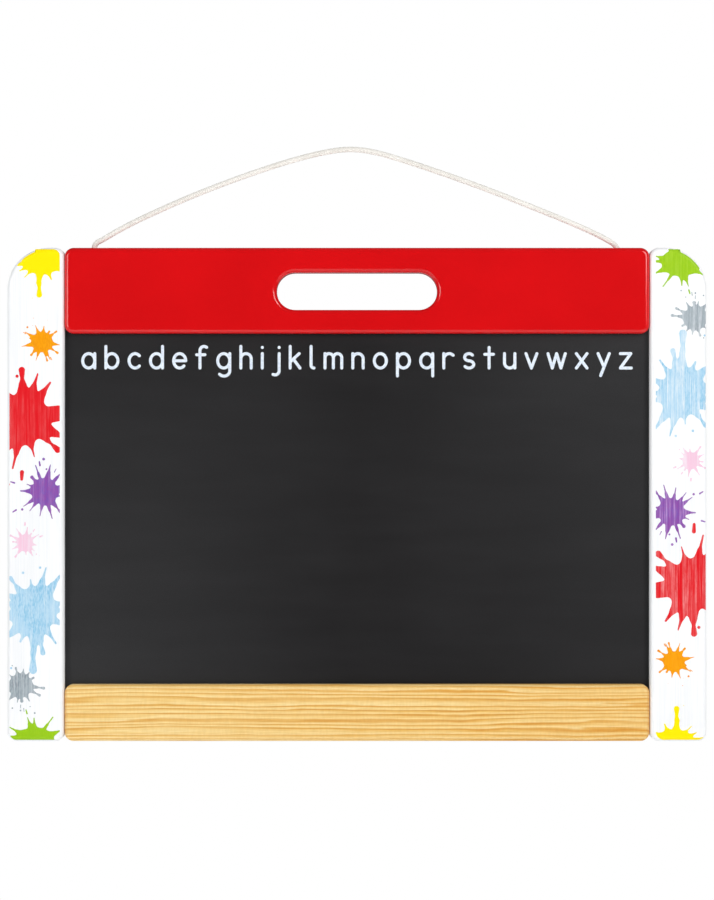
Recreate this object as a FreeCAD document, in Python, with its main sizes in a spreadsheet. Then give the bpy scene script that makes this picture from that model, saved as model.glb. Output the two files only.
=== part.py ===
"""A child's framed drawing board that hangs on a cord loop.

Millimetres, +Z up, front face towards -Y. The origin is the point on the cord's underside
where a hook carries it, straight above the middle of the board.
"""
import FreeCAD, Part
import math
import os
import Sketcher

os.makedirs("parts", exist_ok=True)

# ---------------------------------------------------------------- driving dimensions
DIMENSIONS = [
    ("board_width", 450.0, "framed board, outside to outside"),
    ("board_height", 317.6, "framed board, top edge to bottom edge"),
    ("board_thickness", 15.0, "planks of the frame"),
    ("side_rail_width", 36.6, "left and right planks"),
    ("top_rail_height", 55.3, "plank with the hand slot"),
    ("bottom_rail_height", 36.6, "plank at the foot"),
    ("crown_radius", 27.0, "upper outer corner of each side plank"),
    ("corner_radius", 6.0, "every other corner of a plank"),
    ("roundover_radius", 3.0, "plank edges, front and back"),
    ("slot_length", 103.5, "hand slot, end to end"),
    ("slot_height", 24.0, "hand slot, for a child's fingers"),
    ("slot_foot", 15.3, "wood between the hand slot and the top plank's lower edge"),
    ("panel_thickness", 3.0, "chalkboard panel"),
    ("sheet_thickness", 0.4, "white steel sheet behind the panel"),
    ("groove_depth", 6.0, "panel groove in the planks' inner edges"),
    ("groove_play", 0.1, "air each side of the panel and sheet in the groove"),
    ("panel_edge_play", 0.5, "air between the panel's edge and the groove's floor"),
    ("dowel_diameter", 6.0, "joint dowels"),
    ("dowel_length", 30.0, "joint dowels"),
    ("dowel_bevel", 0.8, "chamfer at both ends of a dowel"),
    ("dowel_play", 0.05, "air round a dowel"),
    ("dowel_end_play", 0.5, "air beyond each end of a dowel"),
    ("dowel_margin", 5.0, "wood between a dowel and the groove or the plank's outer edge"),
    ("cord_diameter", 3.5, "braided cotton cord"),
    ("cord_hole_play", 0.5, "air round the cord in its hole"),
    ("cord_hole_inset", 19.6, "middle of a cord hole in from the top plank's end"),
    ("mouth_land", 0.3, "flat edge left round the bevelled mouth of a cord hole"),
    ("knot_diameter", 8.4, "stopper knot"),
    ("knot_play", 0.2, "air above a knot and in front of it"),
    ("pocket_play", 1.8, "air round a knot in its pocket"),
    ("pocket_drop", 24.0, "middle of the knot pocket below the top edge"),
    ("swing_gap", 0.3, "air between the cord loop's end and the tail in the hole"),
    ("hang_height", 60.7, "hook above the board's top edge"),
]

# The cord loop's route from the left hole to the right one: X from the board's middle and
# Z above its top edge, in millimetres. It leaves upright, leans over and is pulled up to a
# soft peak by the hook. The first and last points are the mouths of the two cord holes.
CORD_ROUTE = [
    (-168.8, 0.0),
    (-168.6, 4.0),
    (-164.2, 6.5),
    (-155.0, 11.2),
    (-136.0, 20.5),
    (-97.0, 37.1),
    (-50.0, 53.6),
    (-16.0, 62.2),
    (5.0, 62.6),
    (34.0, 54.9),
    (79.0, 39.5),
    (124.0, 22.0),
    (147.0, 12.5),
    (159.6, 6.9),
    (165.9, 3.8),
    (168.8, 0.0),
]
ARC_SHARE = 0.45  # share of the shorter run that an arc takes at each corner of the route
TOUCH = 1e-4      # how close two coordinates are when they are the same
START_SIZE = 1.0  # any size in a sketch before the solver sets it
LEAST_CUT = 1.0   # mm3; a cut that removes less has missed its body

doc = FreeCAD.newDocument("drawing_board")
sheet = doc.addObject("Spreadsheet::Sheet", "dims")
for row, (alias, value, meaning) in enumerate(DIMENSIONS, start=1):
    sheet.set(f"A{row}", alias)
    sheet.set(f"B{row}", str(value))
    sheet.set(f"C{row}", meaning)
    sheet.setAlias(f"B{row}", alias)
doc.recompute()


def size(alias):
    """The number in one cell of the sheet."""
    return float(sheet.get(alias))


# Places that several pieces share, as expressions of the sheet's cells
INNER_HALF = "(dims.board_width / 2 - dims.side_rail_width)"
TOP_EDGE = "(-dims.hang_height)"
TOP_RAIL_FOOT = "(-dims.hang_height - dims.top_rail_height)"
BOTTOM_EDGE = "(-dims.hang_height - dims.board_height)"
BOTTOM_RAIL_HEAD = "(-dims.hang_height - dims.board_height + dims.bottom_rail_height)"
OPENING_HEIGHT = "(dims.board_height - dims.top_rail_height - dims.bottom_rail_height)"
GROOVE_WIDTH = "(dims.panel_thickness + dims.sheet_thickness + 2 * dims.groove_play)"
PANEL_LAP = "(dims.groove_depth - dims.panel_edge_play)"
DOWEL_HOLE_DIAMETER = "(dims.dowel_diameter + 2 * dims.dowel_play)"
DOWEL_HOLE_DEPTH = "(dims.dowel_length / 2 + dims.dowel_end_play)"
DOWEL_EDGE = "(dims.dowel_margin + dims.dowel_diameter / 2)"
CORD_HOLE_DIAMETER = "(dims.cord_diameter + 2 * dims.cord_hole_play)"
CORD_HOLE_REACH = f"({INNER_HALF} - dims.cord_hole_inset)"
POCKET_DIAMETER = "(dims.knot_diameter + 2 * dims.pocket_play)"
KNOT_DROP = f"(dims.pocket_drop - {POCKET_DIAMETER} / 2 + dims.knot_play + dims.knot_diameter / 2)"
KNOT_FLAT = "(sqrt(dims.knot_diameter ^ 2 - dims.cord_diameter ^ 2) / 2)"

subparts = []


# ---------------------------------------------------------------- helpers
def place(piece, x="0", y="0", z="0"):
    """Tie a piece's position to the sheet and list it as a sub-part."""
    piece.setExpression(".Placement.Base.x", x)
    piece.setExpression(".Placement.Base.y", y)
    piece.setExpression(".Placement.Base.z", z)
    subparts.append(piece)
    return piece


def new_body(label):
    body = doc.addObject("PartDesign::Body", label)
    body.Label = label
    return body


def new_sketch(body, name, role, lift="0"):
    """An empty sketch on an origin plane of its body, lifted along the plane's normal."""
    sketch = body.newObject("Sketcher::SketchObject", name)
    plane = next(item for item in body.Origin.OriginFeatures if item.Role == role)
    sketch.AttachmentSupport = [(plane, "")]
    sketch.MapMode = "FlatFace"
    sketch.setExpression(".AttachmentOffset.Base.z", lift)
    return sketch


def tie(sketch, kind, places, expression, start=START_SIZE):
    """Add a dimension to a sketch and bind it to the sheet; the solver begins at start."""
    index = sketch.addConstraint(Sketcher.Constraint(kind, *places, start))
    sketch.setExpression(f"Constraints[{index}]", expression)


def rectangle(sketch, left, low, width, height):
    """A rectangle whose place and size are expressions."""
    corners = [
        FreeCAD.Vector(0, 0, 0),
        FreeCAD.Vector(START_SIZE, 0, 0),
        FreeCAD.Vector(START_SIZE, START_SIZE, 0),
        FreeCAD.Vector(0, START_SIZE, 0),
    ]
    sides = []
    for start, end in zip(corners, corners[1:] + corners[:1]):
        sides.append(sketch.addGeometry(Part.LineSegment(start, end)))
    for side, following in zip(sides, sides[1:] + sides[:1]):
        sketch.addConstraint(Sketcher.Constraint("Coincident", side, 2, following, 1))
    for side, kind in zip(sides, ("Horizontal", "Vertical", "Horizontal", "Vertical")):
        sketch.addConstraint(Sketcher.Constraint(kind, side))
    tie(sketch, "DistanceX", (sides[0], 1, sides[0], 2), width)
    tie(sketch, "DistanceY", (sides[1], 1, sides[1], 2), height)
    tie(sketch, "DistanceX", (-1, 1, sides[0], 1), left)
    tie(sketch, "DistanceY", (-1, 1, sides[0], 1), low)


def circle(sketch, across, up, diameter):
    """A circle whose centre and diameter are expressions."""
    upright = FreeCAD.Vector(0, 0, 1)
    ring = sketch.addGeometry(Part.Circle(FreeCAD.Vector(0, 0, 0), upright, START_SIZE))
    tie(sketch, "DistanceX", (-1, 1, ring, 3), across)
    tie(sketch, "DistanceY", (-1, 1, ring, 3), up)
    tie(sketch, "Diameter", (ring,), diameter)


def stadium(sketch, up, length, height):
    """A slot with round ends, centred left and right, whose place and size are expressions."""
    radius = size("slot_height") / 2
    reach = size("slot_length") / 2 - radius
    middle = size("slot_foot") + radius
    right = FreeCAD.Vector(reach, middle, 0)
    left = FreeCAD.Vector(-reach, middle, 0)
    rise = FreeCAD.Vector(0, radius, 0)
    quarter = math.pi / 2
    upright = FreeCAD.Vector(0, 0, 1)
    low = sketch.addGeometry(Part.LineSegment(left - rise, right - rise))
    east = sketch.addGeometry(
        Part.ArcOfCircle(Part.Circle(right, upright, radius), -quarter, quarter))
    high = sketch.addGeometry(Part.LineSegment(right + rise, left + rise))
    west = sketch.addGeometry(
        Part.ArcOfCircle(Part.Circle(left, upright, radius), quarter, 3 * quarter))
    sketch.addConstraint(Sketcher.Constraint("Tangent", low, 2, east, 1))
    sketch.addConstraint(Sketcher.Constraint("Tangent", east, 2, high, 1))
    sketch.addConstraint(Sketcher.Constraint("Tangent", high, 2, west, 1))
    sketch.addConstraint(Sketcher.Constraint("Tangent", west, 2, low, 1))
    sketch.addConstraint(Sketcher.Constraint("Horizontal", low))
    tie(sketch, "Radius", (east,), f"{height} / 2", radius)
    tie(sketch, "DistanceX", (west, 3, east, 3), f"{length} - {height}", 2 * reach)
    tie(sketch, "DistanceX", (-1, 1, east, 3), f"({length} - {height}) / 2", reach)
    tie(sketch, "DistanceY", (-1, 1, east, 3), up, middle)


def pad(body, sketch, name, length):
    """Thicken a sketch equally to both sides."""
    feature = body.newObject("PartDesign::Pad", name)
    feature.Profile = sketch
    feature.SideType = "Symmetric"
    feature.setExpression("Length", length)
    sketch.Visibility = False
    doc.recompute()
    return feature


def pocket(body, sketch, name, depth, along_normal):
    """Cut a sketch into its body and make sure that the cut removes material."""
    before = body.Shape.Volume
    feature = body.newObject("PartDesign::Pocket", name)
    feature.Profile = sketch
    feature.Reversed = along_normal
    if depth is None:
        feature.Type = "ThroughAll"
        feature.SideType = "Symmetric"
    else:
        feature.setExpression("Length", depth)
    sketch.Visibility = False
    doc.recompute()
    removed = before - body.Shape.Volume
    if removed <= LEAST_CUT:
        raise RuntimeError(f"{body.Label}: {name} removed {removed:.2f} mm3")
    return feature


def edge_names(shape, wanted):
    return [f"Edge{number}" for number, edge in enumerate(shape.Edges, start=1) if wanted(edge)]


def dress(body, kind, name, wanted, amount):
    """A fillet or chamfer on the body's edges that the test picks."""
    base = body.Tip
    names = edge_names(base.Shape, wanted)
    if not names:
        raise RuntimeError(f"{body.Label}: {name} finds no edges")
    feature = body.newObject(f"PartDesign::{kind}", name)
    feature.Base = (base, names)
    feature.setExpression("Radius" if kind == "Fillet" else "Size", amount)
    doc.recompute()
    return feature


def runs_through(edge):
    """True for an edge that crosses the plank from front to back."""
    first, last = (vertex.Point for vertex in (edge.Vertexes[0], edge.Vertexes[-1]))
    return abs(first.y - last.y) > size("board_thickness") / 2


def on_a_face(edge):
    """True for an edge in the plank's front or back face."""
    box = edge.BoundBox
    half = size("board_thickness") / 2
    return abs(box.YMin - box.YMax) < TOUCH and abs(abs(box.YMin) - half) < TOUCH


def round_edges(body):
    dress(body, "Fillet", "Roundovers", on_a_face, "dims.roundover_radius")


# ---------------------------------------------------------------- side planks
def dowel_drops(height):
    """Two dowels' distances from a cross plank's outer edge, near that edge and near the groove."""
    return DOWEL_EDGE, f"({height} - dims.groove_depth - {DOWEL_EDGE})"


def side_rail(label, side):
    """A side plank: side is -1 on the left and 1 on the right.

    Its own origin is halfway up its inner edge, at mid thickness.
    """
    body = new_body(label)
    outline = new_sketch(body, "Outline", "XZ_Plane")
    left = "0" if side > 0 else "-dims.side_rail_width"
    rectangle(outline, left, "-dims.board_height / 2", "dims.side_rail_width", "dims.board_height")
    pad(body, outline, "Plank", "dims.board_thickness")

    def crown(edge):
        middle = edge.BoundBox.Center
        outer = side * middle.x > size("side_rail_width") / 2
        return runs_through(edge) and outer and middle.z > 0

    def plain_corner(edge):
        return runs_through(edge) and not crown(edge)

    dress(body, "Fillet", "Corners", plain_corner, "dims.corner_radius")
    dress(body, "Fillet", "Crown", crown, "dims.crown_radius")
    round_edges(body)

    groove = new_sketch(body, "Groove", "YZ_Plane")
    foot = "(dims.bottom_rail_height - dims.board_height / 2 - dims.groove_depth)"
    rectangle(groove, f"-{GROOVE_WIDTH} / 2", foot, GROOVE_WIDTH,
              f"{OPENING_HEIGHT} + 2 * dims.groove_depth")
    pocket(body, groove, "PanelGroove", "dims.groove_depth", along_normal=side > 0)

    holes = new_sketch(body, "DowelHoles", "YZ_Plane")
    for drop in dowel_drops("dims.top_rail_height"):
        circle(holes, "0", f"dims.board_height / 2 - {drop}", DOWEL_HOLE_DIAMETER)
    for drop in dowel_drops("dims.bottom_rail_height"):
        circle(holes, "0", f"{drop} - dims.board_height / 2", DOWEL_HOLE_DIAMETER)
    pocket(body, holes, "DowelBores", DOWEL_HOLE_DEPTH, along_normal=side > 0)
    middle = "(-dims.hang_height - dims.board_height / 2)"
    return place(body, x=f"{side} * {INNER_HALF}", z=middle)


# ---------------------------------------------------------------- top and bottom planks
def cross_rail(label, side, height):
    """A plank between the side planks: side is 1 for the top one and -1 for the bottom one.

    Its own origin is the middle of the edge that faces the panel, at mid thickness.
    """
    body = new_body(label)
    outline = new_sketch(body, "Outline", "XZ_Plane")
    low = "0" if side > 0 else f"-{height}"
    rectangle(outline, f"-{INNER_HALF}", low, f"2 * {INNER_HALF}", height)
    pad(body, outline, "Plank", "dims.board_thickness")
    dress(body, "Fillet", "Corners", runs_through, "dims.corner_radius")
    if side > 0:
        slot = new_sketch(body, "Slot", "XZ_Plane")
        stadium(slot, "dims.slot_foot + dims.slot_height / 2", "dims.slot_length", "dims.slot_height")
        pocket(body, slot, "HandSlot", None, along_normal=False)
    round_edges(body)

    groove = new_sketch(body, "Groove", "XY_Plane")
    rectangle(groove, f"-{INNER_HALF}", f"-{GROOVE_WIDTH} / 2", f"2 * {INNER_HALF}", GROOVE_WIDTH)
    pocket(body, groove, "PanelGroove", "dims.groove_depth", along_normal=side > 0)

    for end, name in ((1, "Right"), (-1, "Left")):
        holes = new_sketch(body, f"{name}DowelHoles", "YZ_Plane", lift=f"{end} * {INNER_HALF}")
        for drop in dowel_drops(height):
            circle(holes, "0", f"{side} * ({height} - {drop})", DOWEL_HOLE_DIAMETER)
        pocket(body, holes, f"{name}DowelBores", DOWEL_HOLE_DEPTH, along_normal=end < 0)
    return body


def drill_for_cord(body):
    """Cord holes down from the top edge, their bevelled mouths, and the knot pockets behind."""
    height = "dims.top_rail_height"
    bores = new_sketch(body, "CordHoles", "XY_Plane", lift=height)
    for side in (-1, 1):
        circle(bores, f"{side} * {CORD_HOLE_REACH}", "0", CORD_HOLE_DIAMETER)
    pocket(body, bores, "CordBores", "dims.pocket_drop", along_normal=False)

    def mouth(edge):
        at_top = abs(edge.BoundBox.ZMin - size("top_rail_height")) < TOUCH
        bore_girth = math.pi * (size("cord_diameter") + 2 * size("cord_hole_play"))
        return at_top and edge.BoundBox.ZLength < TOUCH and abs(edge.Length - bore_girth) < TOUCH

    top_flat = "(dims.board_thickness / 2 - dims.roundover_radius)"
    dress(body, "Chamfer", "CordMouths", mouth,
          f"{top_flat} - dims.mouth_land - {CORD_HOLE_DIAMETER} / 2")
    pockets = new_sketch(body, "KnotPockets", "XZ_Plane", lift="-dims.board_thickness / 2")
    for side in (-1, 1):
        circle(pockets, f"{side} * {CORD_HOLE_REACH}", f"{height} - dims.pocket_drop",
               POCKET_DIAMETER)
    depth = "(dims.board_thickness + dims.knot_diameter) / 2 + dims.knot_play"
    pocket(body, pockets, "KnotBores", depth, along_normal=True)


# ---------------------------------------------------------------- panel and sheet
def board_layer(label, thickness, middle):
    """One flat layer of the writing panel, held in the groove on all four sides."""
    body = new_body(label)
    outline = new_sketch(body, "Outline", "XZ_Plane")
    half_width = f"({INNER_HALF} + {PANEL_LAP})"
    rectangle(outline, f"-{half_width}", f"-{PANEL_LAP}", f"2 * {half_width}",
              f"{OPENING_HEIGHT} + 2 * {PANEL_LAP}")
    pad(body, outline, "Layer", thickness)
    return place(body, y=middle, z=BOTTOM_RAIL_HEAD)


# ---------------------------------------------------------------- dowels
def dowel(label, side, height):
    """A joint dowel along X, half in a side plank and half in a cross plank."""
    body = new_body(label)
    section = new_sketch(body, "Section", "YZ_Plane")
    circle(section, "0", "0", "dims.dowel_diameter")
    pad(body, section, "Rod", "dims.dowel_length")

    def rim(edge):
        return edge.BoundBox.XLength < TOUCH

    dress(body, "Chamfer", "Bevels", rim, "dims.dowel_bevel")
    return place(body, x=f"{side} * {INNER_HALF}", z=height)


# ---------------------------------------------------------------- cord
def knot(label, side):
    """A stopper knot as a ball, flat on top where the cord leaves it."""
    ball = doc.addObject("Part::Sphere", label)
    ball.Label = label
    ball.setExpression("Radius", "dims.knot_diameter / 2")
    ball.setExpression("Angle2", "acos(dims.cord_diameter / dims.knot_diameter)")
    return place(ball, x=f"{side} * {CORD_HOLE_REACH}", z=f"{TOP_EDGE} - {KNOT_DROP}")


def cord_tail(label, side):
    """The cord inside its hole, from the knot up to just under the swing axis."""
    rod = doc.addObject("Part::Cylinder", label)
    rod.Label = label
    foot = f"({KNOT_FLAT} - {KNOT_DROP})"
    rod.setExpression("Radius", "dims.cord_diameter / 2")
    rod.setExpression("Height", f"-{foot} - dims.cord_diameter / 2 - dims.swing_gap")
    return place(rod, x=f"{side} * {CORD_HOLE_REACH}", z=f"{TOP_EDGE} + {foot}")


def rounded_path(points):
    """Straight runs joined by tangent arcs; returns the wire and the arcs' radii."""
    edges = []
    radii = []
    start = points[0]
    for before, corner, after in zip(points, points[1:], points[2:]):
        back = before - corner
        ahead = after - corner
        half_turn = (math.pi - back.getAngle(ahead)) / 2
        reach = ARC_SHARE * min(back.Length, ahead.Length)
        radius = reach / math.tan(half_turn)
        back.normalize()
        ahead.normalize()
        entry = corner + back * reach
        leave = corner + ahead * reach
        inward = (back + ahead).normalize()
        crest = corner + inward * (radius / math.cos(half_turn) - radius)
        edges.append(Part.LineSegment(start, entry).toShape())
        edges.append(Part.Arc(entry, crest, leave).toShape())
        radii.append(radius)
        start = leave
    edges.append(Part.LineSegment(start, points[-1]).toShape())
    return Part.Wire(edges), radii


def hanging_cord():
    """The loop above the board, with a round end on the swing axis in each mouth."""
    radius = size("cord_diameter") / 2
    top_edge = -size("hang_height")
    points = [FreeCAD.Vector(x, 0, top_edge + above) for x, above in CORD_ROUTE]
    path, radii = rounded_path(points)
    first_run = points[1] - points[0]
    section = Part.Wire(Part.Circle(points[0], first_run, radius).toShape())
    solid = path.makePipeShell([section], True, True)
    print("cord loop length %.1f mm" % path.Length)
    print("cord loop radii", ["%.1f" % value for value in radii])
    print("cord loop volume over section x length %.4f"
          % (solid.Volume / (math.pi * radius ** 2 * path.Length)))
    for end, outward in ((points[0], points[0] - points[1]), (points[-1], points[-1] - points[-2])):
        solid = solid.fuse(Part.makeSphere(radius, end, outward, 0, 90, 360))
    feature = doc.addObject("Part::Feature", "hanging_cord")
    feature.Label = "hanging_cord"
    feature.Shape = solid.Solids[0]
    feature.Placement = FreeCAD.Placement()
    subparts.append(feature)
    return feature


# ---------------------------------------------------------------- the board, piece by piece
side_rail("left_rail", -1)
side_rail("right_rail", 1)

top = cross_rail("top_rail", 1, "dims.top_rail_height")
drill_for_cord(top)
place(top, z=TOP_RAIL_FOOT)
bottom = cross_rail("bottom_rail", -1, "dims.bottom_rail_height")
place(bottom, z=BOTTOM_RAIL_HEAD)

board_layer("chalkboard_panel", "dims.panel_thickness", "-dims.sheet_thickness / 2")
board_layer("whiteboard_sheet", "dims.sheet_thickness", "dims.panel_thickness / 2")

for side, side_name in ((-1, "left"), (1, "right")):
    for drop, row_name in zip(dowel_drops("dims.top_rail_height"), ("outer", "inner")):
        dowel(f"dowel_top_{side_name}_{row_name}", side, f"{TOP_EDGE} - {drop}")
    for drop, row_name in zip(dowel_drops("dims.bottom_rail_height"), ("outer", "inner")):
        dowel(f"dowel_bottom_{side_name}_{row_name}", side, f"{BOTTOM_EDGE} + {drop}")
    knot(f"knot_{side_name}", side)
    cord_tail(f"cord_tail_{side_name}", side)
hanging_cord()
doc.recompute()

# ---------------------------------------------------------------- check and write
for item in doc.Objects:
    if "Invalid" in item.State or "Error" in item.State:
        raise RuntimeError(f"{item.Label} failed: {item.State}")
for piece in subparts:
    if piece.Shape.isNull() or not piece.Shape.isValid() or len(piece.Shape.Solids) != 1:
        raise RuntimeError(f"{piece.Label} is not one valid solid")
for piece in subparts:
    piece.Shape.exportStep(f"parts/{piece.Label}.step")
    print(f"{piece.Label}: {piece.Shape.Volume:.0f} mm3")
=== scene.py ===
"""Looks for a child's framed drawing board that hangs on a cord loop.

Everything is in metres in the CAD frame: +X along the board, +Z up, the chalkboard faces -Y.
Prints and letters are thin films shaped by formula: rounded strokes are joined by a smooth
union, and the outline is where that field is zero.
"""
import math
import random
from collections import namedtuple

import bmesh
import bpy
import numpy as np
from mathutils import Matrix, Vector


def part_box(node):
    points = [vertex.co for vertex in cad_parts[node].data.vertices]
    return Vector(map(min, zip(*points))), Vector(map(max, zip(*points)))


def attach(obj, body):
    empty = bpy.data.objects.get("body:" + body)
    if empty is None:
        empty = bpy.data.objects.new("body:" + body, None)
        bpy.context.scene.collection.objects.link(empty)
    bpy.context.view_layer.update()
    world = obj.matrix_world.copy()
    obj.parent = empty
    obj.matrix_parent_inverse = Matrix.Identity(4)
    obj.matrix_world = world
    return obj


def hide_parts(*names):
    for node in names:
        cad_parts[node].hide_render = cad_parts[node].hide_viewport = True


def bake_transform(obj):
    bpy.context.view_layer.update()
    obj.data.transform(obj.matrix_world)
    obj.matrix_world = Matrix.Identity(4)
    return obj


MM = 0.001
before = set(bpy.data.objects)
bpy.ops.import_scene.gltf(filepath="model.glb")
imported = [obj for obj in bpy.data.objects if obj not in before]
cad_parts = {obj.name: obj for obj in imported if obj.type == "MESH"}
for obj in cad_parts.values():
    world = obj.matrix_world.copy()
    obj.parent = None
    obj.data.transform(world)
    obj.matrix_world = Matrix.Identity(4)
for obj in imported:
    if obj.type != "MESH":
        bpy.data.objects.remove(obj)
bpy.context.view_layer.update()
scene = bpy.context.scene

# ---------------------------------------------------------------- places read from the frame
LEFT_LOW, LEFT_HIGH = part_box("left_rail")
_, TOP_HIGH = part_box("top_rail")
PANEL_LOW, PANEL_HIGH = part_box("chalkboard_panel")
FRONT = LEFT_LOW[1]
BACK = LEFT_HIGH[1]
TOP = LEFT_HIGH[2]
RAIL_WIDTH = LEFT_HIGH[0] - LEFT_LOW[0]
RAIL_HEIGHT = LEFT_HIGH[2] - LEFT_LOW[2]
BOARD_HALF = -LEFT_LOW[0]
KNOTS = {side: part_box(f"knot_{side}") for side in ("left", "right")}

# ---------------------------------------------------------------- a side plank's shape, mm
CROWN_RADIUS = 27.0       # the upper outer corner
CORNER_RADIUS = 6.0       # the other corners
ROUNDOVER = 3.0           # the edges, front and back

# ---------------------------------------------------------------- camera
LENS = 100.0
SENSOR = 36.0
VIEW_HEIGHT = 578.6 * MM      # height of the picture at the board's front face
VIEW_DROP = 130.2 * MM        # middle of the picture below the board's top edge

camera_data = bpy.data.cameras.new("camera")
camera_data.lens = LENS
camera_data.sensor_width = SENSOR
camera = bpy.data.objects.new("camera", camera_data)
camera.location = (0.0, FRONT - VIEW_HEIGHT * LENS / SENSOR, TOP - VIEW_DROP)
camera.rotation_euler = (math.pi / 2, 0.0, 0.0)
scene.collection.objects.link(camera)
scene.camera = camera
scene.view_settings.view_transform = "Standard"


# ---------------------------------------------------------------- material helpers
def linear(red, green, blue):
    """A colour given as 0-255 display values, as the linear values that a shader takes."""
    def channel(value):
        value = value / 255.0
        return value / 12.92 if value <= 0.04045 else ((value + 0.055) / 1.055) ** 2.4
    return (channel(red), channel(green), channel(blue), 1.0)


class Shader:
    """A material's node tree, with one short call for each node."""

    def __init__(self, name, roughness, specular=0.5):
        self.material = bpy.data.materials.new(name)
        self.material.use_nodes = True
        self.tree = self.material.node_tree
        self.surface = self.tree.nodes["Principled BSDF"]
        self.surface.inputs["Roughness"].default_value = roughness
        self.surface.inputs["Specular IOR Level"].default_value = specular
        self.place = self.add("ShaderNodeTexCoord").outputs["Object"]

    def add(self, kind, inputs=(), **settings):
        node = self.tree.nodes.new(kind)
        for name, value in settings.items():
            setattr(node, name, value)
        for name, value in dict(inputs).items():
            self.feed(node.inputs[name], value)
        return node

    def feed(self, socket, value):
        if isinstance(value, bpy.types.NodeSocket):
            self.tree.links.new(value, socket)
        else:
            socket.default_value = value

    def stretched(self, scale):
        """The object's own coordinates, scaled differently along X, Y and Z."""
        return self.add("ShaderNodeMapping", {"Vector": self.place, "Scale": scale}).outputs["Vector"]

    def noise(self, scale, detail=2.0, roughness=0.5):
        """Noise whose grain is one over the scale, in metres, along each axis."""
        node = self.add("ShaderNodeTexNoise", {"Vector": self.stretched(scale), "Scale": 1.0,
                                               "Detail": detail, "Roughness": roughness})
        return node.outputs["Fac"]

    def math(self, operation, first, second=0.5):
        return self.add("ShaderNodeMath", {0: first, 1: second}, operation=operation).outputs[0]

    def ramp(self, factor, stops):
        """A colour ramp; stops are (place, colour or grey)."""
        node = self.add("ShaderNodeValToRGB", {"Fac": factor})
        elements = node.color_ramp.elements
        while len(elements) < len(stops):
            elements.new(0.5)
        for element, (place, colour) in zip(elements, stops):
            element.position = place
            element.color = colour if isinstance(colour, tuple) else (colour, colour, colour, 1.0)
        return node.outputs["Color"]

    def mix(self, factor, first, second, blend="MIX"):
        node = self.add("ShaderNodeMix", data_type="RGBA", blend_type=blend)
        self.feed(node.inputs[0], factor)
        self.feed(node.inputs[6], first)
        self.feed(node.inputs[7], second)
        return node.outputs[2]

    def colour(self, value):
        self.feed(self.surface.inputs["Base Color"], value)

    def roughness(self, low, high, factor):
        spread = self.add("ShaderNodeMapRange", {"Value": factor, "To Min": low, "To Max": high})
        self.feed(self.surface.inputs["Roughness"], spread.outputs[0])

    def bump(self, height, strength, distance):
        node = self.add("ShaderNodeBump", {"Height": height, "Strength": strength,
                                           "Distance": distance})
        self.feed(self.surface.inputs["Normal"], node.outputs["Normal"])


# ---------------------------------------------------------------- wood and panel materials
def white_lacquer():
    """White paint over wood: the grain shows faintly along the plank."""
    shader = Shader("white_lacquer", 0.34, 0.4)
    grain = shader.noise((1500, 1500, 22), 4.0, 0.6)
    cloud = shader.noise((28, 28, 9), 2.0)
    streak = shader.ramp(grain, [(0.28, linear(241, 243, 244)), (0.55, linear(249, 249, 250)),
                                 (0.78, linear(251, 251, 251))])
    tint = shader.ramp(cloud, [(0.3, linear(248, 249, 250)), (0.7, linear(255, 255, 255))])
    shader.colour(shader.mix(1.0, streak, tint, "MULTIPLY"))
    shader.roughness(0.28, 0.42, cloud)
    shader.bump(grain, 0.2, 0.00012)
    return shader.material


def red_lacquer():
    """Thick glossy red lacquer with a slight orange peel."""
    shader = Shader("red_lacquer", 0.16, 0.42)
    cloud = shader.noise((16, 16, 22), 3.0)
    depth = shader.ramp(cloud, [(0.15, linear(204, 3, 9)), (0.85, linear(220, 5, 12))])
    shader.colour(depth)
    shader.surface.inputs["Coat Weight"].default_value = 0.3
    shader.surface.inputs["Coat Roughness"].default_value = 0.04
    peel = shader.noise((420, 420, 420), 2.0)
    fibre = shader.noise((40, 900, 900), 2.0)
    shader.roughness(0.14, 0.2, cloud)
    shader.bump(shader.math("ADD", peel, fibre), 0.06, 0.0002)
    return shader.material


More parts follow.
